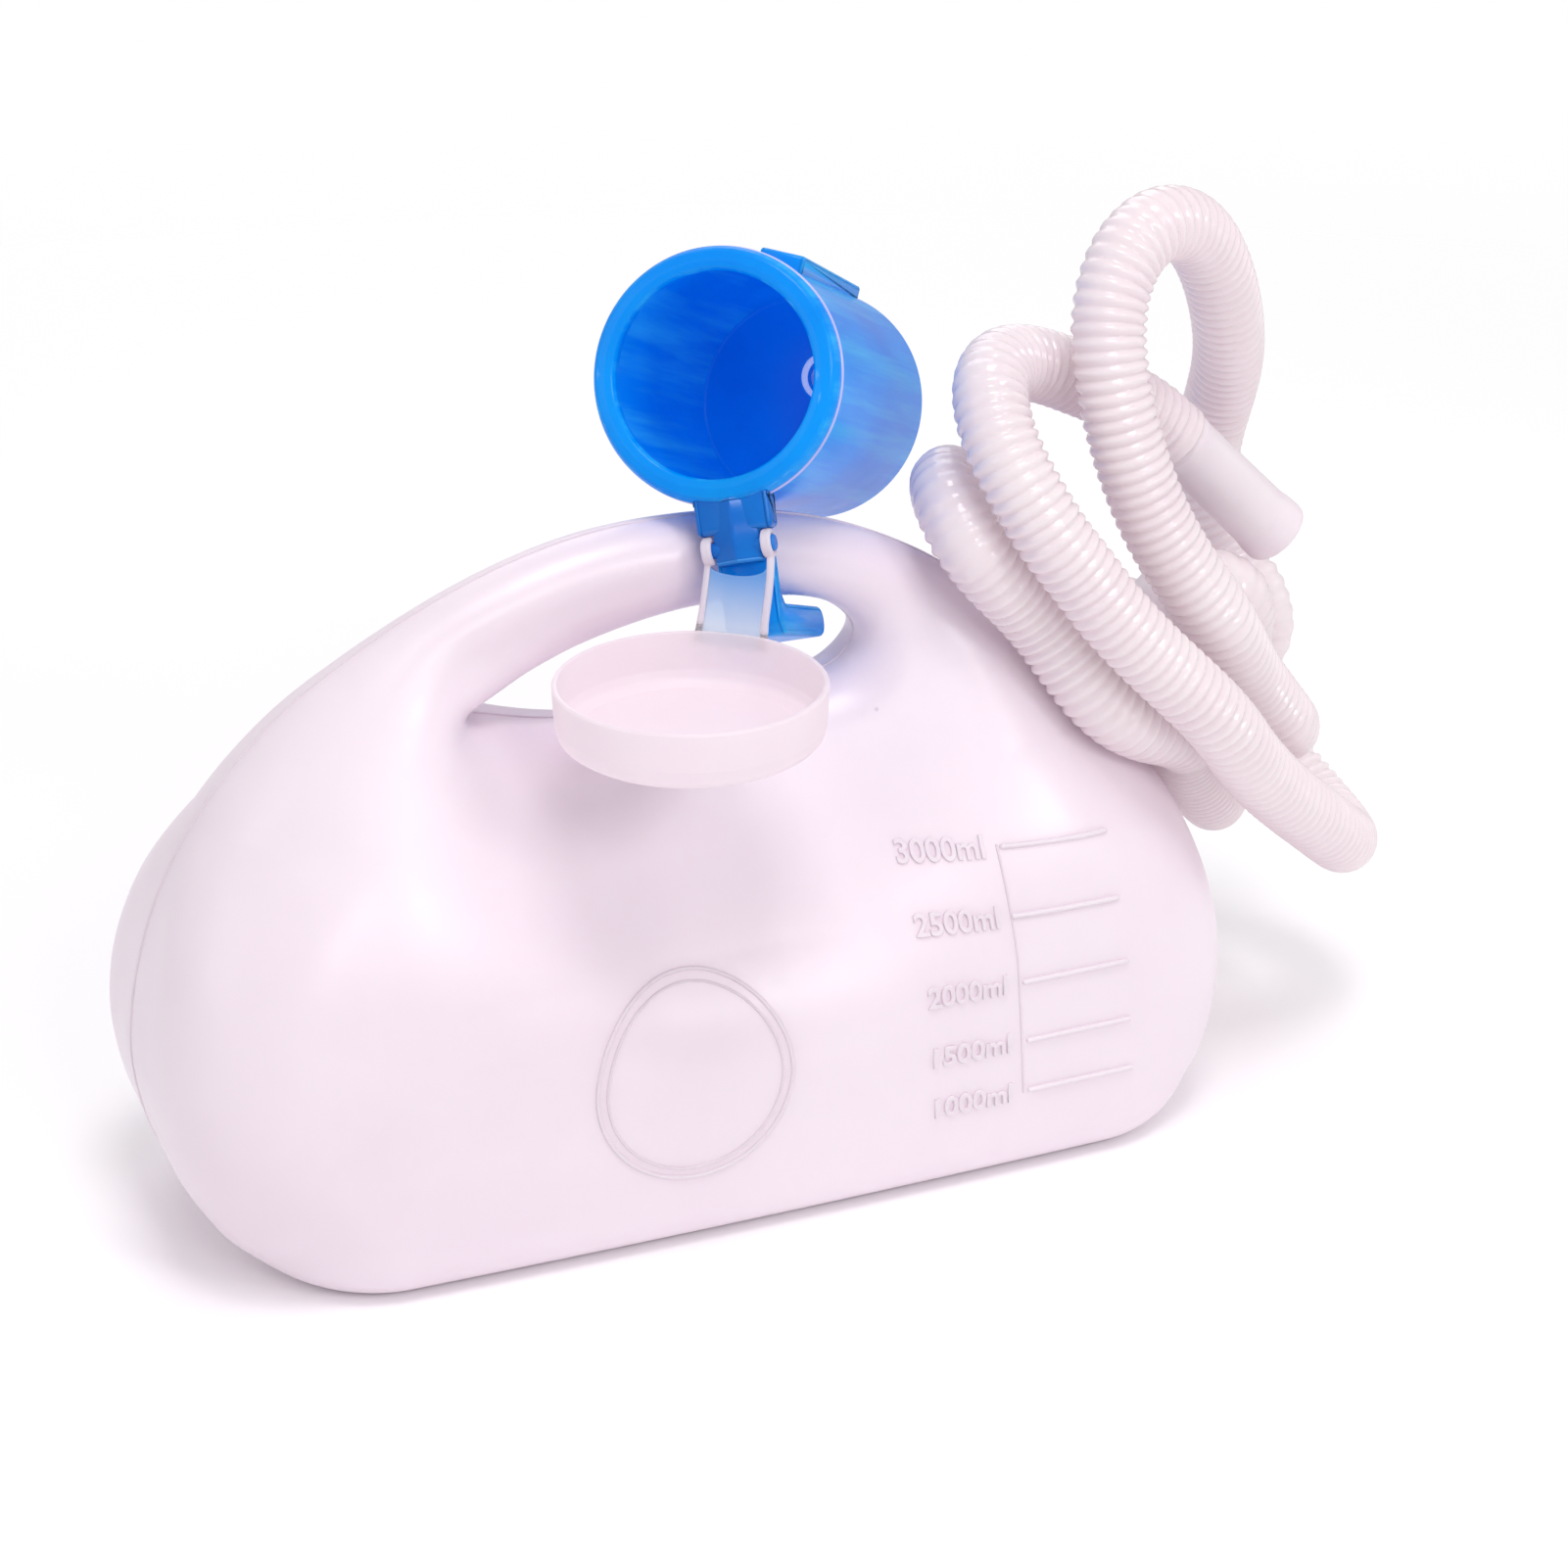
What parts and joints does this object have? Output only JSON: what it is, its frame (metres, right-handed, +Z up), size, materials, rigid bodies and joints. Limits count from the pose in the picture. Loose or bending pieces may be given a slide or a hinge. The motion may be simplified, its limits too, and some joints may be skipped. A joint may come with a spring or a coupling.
{
  "type": "urine bottle",
  "caption": "Portable ward urine bottle with a through handle, screw cap, corrugated hose and a clip-on funnel cup with a hinged lid.",
  "frame": {"origin": "middle of the bottle's flat base, on the table", "axes": "+X along the bottle towards the neck, +Y towards the bottle's back, +Z up"},
  "size_m": [0.386, 0.1763, 0.2649],
  "materials": {
    "bottle": "translucent natural polyethylene",
    "cap": "white polypropylene",
    "washer": "soft grey-white",
    "hose": "translucent corrugated polyethylene",
    "cuff": "translucent smooth polyethylene",
    "funnel": "glossy blue polypropylene",
    "lid": "translucent natural polypropylene"
  },
  "bodies": {
    "bottle": {"bottle_body": "bottle"},
    "cap": {"screw_cap": "cap", "cap_washer": "washer"},
    "hose_line": {"hose": "hose", "hose_cap_cuff": "cuff", "hose_free_cuff": "cuff"},
    "funnel": {"funnel_cup": "funnel", "outlet_ring": "cap"},
    "lid": {"lid_with_strap": "lid"}
  },
  "joints": [
    {"name": "cap_turn", "type": "hinge", "parent": "bottle", "child": "cap", "pos_m": [0.127, 0, 0.1205], "axis": [0.8, 0, 0.6], "range_deg": [0, 360]},
    {"name": "hose_off", "type": "slide", "parent": "bottle", "child": "hose_line", "axis": [0.8, 0, 0.6], "range_m": [0, 0.04]},
    {"name": "funnel_off", "type": "slide", "parent": "bottle", "child": "funnel", "axis": [-0.6027, -0.7079, 0.3681], "range_m": [0, 0.1]},
    {"name": "lid_hinge", "type": "hinge", "parent": "funnel", "child": "lid", "pos_m": [0.01027, -0.0216, 0.18537], "axis": [0.7968, -0.5582, 0.2312], "range_deg": [-115, 0]}
  ]
}
